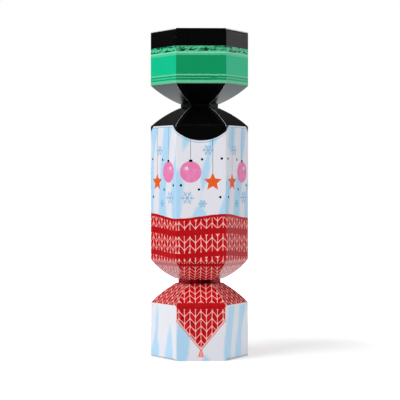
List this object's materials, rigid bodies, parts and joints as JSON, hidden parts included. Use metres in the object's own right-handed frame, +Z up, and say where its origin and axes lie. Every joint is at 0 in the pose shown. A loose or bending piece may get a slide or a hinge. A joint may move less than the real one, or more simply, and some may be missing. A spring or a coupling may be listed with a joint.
{
  "type": "cracker-shaped folding carton",
  "caption": "Hexagonal paperboard carton shaped like a party cracker, pinched at two tied necks, with a tuck-in lid on the cap and a film bag of gummy bears in the body.",
  "frame": {"origin": "middle of the base panel's underside, on the surface that the carton stands on", "axes": "+Z up along the carton to the lid, -Y out of the front panel, +X to the right seen from the front"},
  "size_m": [0.06, 0.052, 0.1988],
  "materials": {
    "cap_print": "gloss",
    "black_print": "gloss",
    "body_print": "gloss",
    "knit_print": "gloss",
    "raw_board": "matte",
    "black_tie": "gloss",
    "crimson_tie": "gloss",
    "clear_film": "gloss",
    "gummy_red": "gloss",
    "gummy_green": "gloss",
    "gummy_yellow": "gloss",
    "gummy_orange": "gloss",
    "gummy_clear": "gloss"
  },
  "bodies": {
    "carton": {"cap_wall": "cap_print", "cap_glue_flap": "raw_board", "body_wall": "body_print", "body_glue_flap": "raw_board", "foot_wall": "body_print", "foot_glue_flap": "raw_board", "upper_neck_tie": "black_tie", "lower_neck_tie": "crimson_tie", "base_panel": "body_print", "base_glued_flap": "raw_board", "bag_film_tube": "clear_film", "bag_top_seal": "clear_film", "bag_bottom_seal": "clear_film", "bag_back_seam": "clear_film", "lower_neck_strip_front": "knit_print", "upper_neck_strip_front": "black_print", "lower_neck_strip_front_right": "knit_print", "upper_neck_strip_front_right": "black_print", "lower_neck_strip_back_right": "knit_print", "upper_neck_strip_back_right": "black_print", "lower_neck_strip_back": "knit_print", "upper_neck_strip_back": "black_print", "lower_neck_strip_back_left": "knit_print", "upper_neck_strip_back_left": "black_print", "lower_neck_strip_front_left": "knit_print", "upper_neck_strip_front_left": "black_print", "base_dust_flap_front_right": "raw_board", "base_dust_flap_back_right": "raw_board", "base_dust_flap_back_left": "raw_board", "base_dust_flap_front_left": "raw_board", "gummy_bear_01": "gummy_green", "gummy_bear_02": "gummy_yellow", "gummy_bear_03": "gummy_orange", "gummy_bear_04": "gummy_clear", "gummy_bear_05": "gummy_red", "gummy_bear_06": "gummy_green", "gummy_bear_07": "gummy_yellow", "gummy_bear_08": "gummy_orange", "gummy_bear_09": "gummy_clear", "gummy_bear_10": "gummy_red", "gummy_bear_11": "gummy_green", "gummy_bear_12": "gummy_yellow", "gummy_bear_13": "gummy_orange", "gummy_bear_14": "gummy_clear", "gummy_bear_15": "gummy_red", "gummy_bear_16": "gummy_green", "gummy_bear_17": "gummy_yellow", "gummy_bear_18": "gummy_orange", "gummy_bear_19": "gummy_clear", "gummy_bear_20": "gummy_red", "gummy_bear_21": "gummy_green", "gummy_bear_22": "gummy_yellow", "gummy_bear_23": "gummy_orange", "gummy_bear_24": "gummy_clear"},
    "lid": {"top_lid": "black_print"},
    "tuck_flap": {"lid_tuck_flap": "black_print"},
    "dust_flap_front_right": {"top_dust_flap_front_right": "black_print"},
    "dust_flap_back_right": {"top_dust_flap_back_right": "black_print"},
    "dust_flap_back_left": {"top_dust_flap_back_left": "black_print"},
    "dust_flap_front_left": {"top_dust_flap_front_left": "black_print"}
  },
  "joints": [
    {"name": "lid_hinge", "type": "hinge", "parent": "carton", "child": "lid", "pos_m": [0, 0.02598, 0.1988], "axis": [-1, 0, 0], "range_deg": [0, 115]},
    {"name": "tuck_flap_crease", "type": "hinge", "parent": "lid", "child": "tuck_flap", "pos_m": [0, -0.02518, 0.1983], "axis": [-1, 0, 0], "range_deg": [0, 40]},
    {"name": "dust_flap_crease_front_right", "type": "hinge", "parent": "carton", "child": "dust_flap_front_right", "pos_m": [0.0225, -0.01299, 0.198], "axis": [0.5, 0.866, 0], "range_deg": [0, 95]},
    {"name": "dust_flap_crease_back_right", "type": "hinge", "parent": "carton", "child": "dust_flap_back_right", "pos_m": [0.0225, 0.01299, 0.198], "axis": [-0.5, 0.866, 0], "range_deg": [0, 95]},
    {"name": "dust_flap_crease_back_left", "type": "hinge", "parent": "carton", "child": "dust_flap_back_left", "pos_m": [-0.0225, 0.01299, 0.198], "axis": [-0.5, -0.866, 0], "range_deg": [0, 95]},
    {"name": "dust_flap_crease_front_left", "type": "hinge", "parent": "carton", "child": "dust_flap_front_left", "pos_m": [-0.0225, -0.01299, 0.198], "axis": [0.5, -0.866, 0], "range_deg": [0, 95]}
  ],
  "couplings": [
    {"joint": "tuck_flap_crease", "follows": "lid_hinge", "ratio": 0.3},
    {"joint": "dust_flap_crease_front_right", "follows": "lid_hinge", "ratio": 0.8},
    {"joint": "dust_flap_crease_back_right", "follows": "lid_hinge", "ratio": 0.8},
    {"joint": "dust_flap_crease_back_left", "follows": "lid_hinge", "ratio": 0.8},
    {"joint": "dust_flap_crease_front_left", "follows": "lid_hinge", "ratio": 0.8}
  ]
}
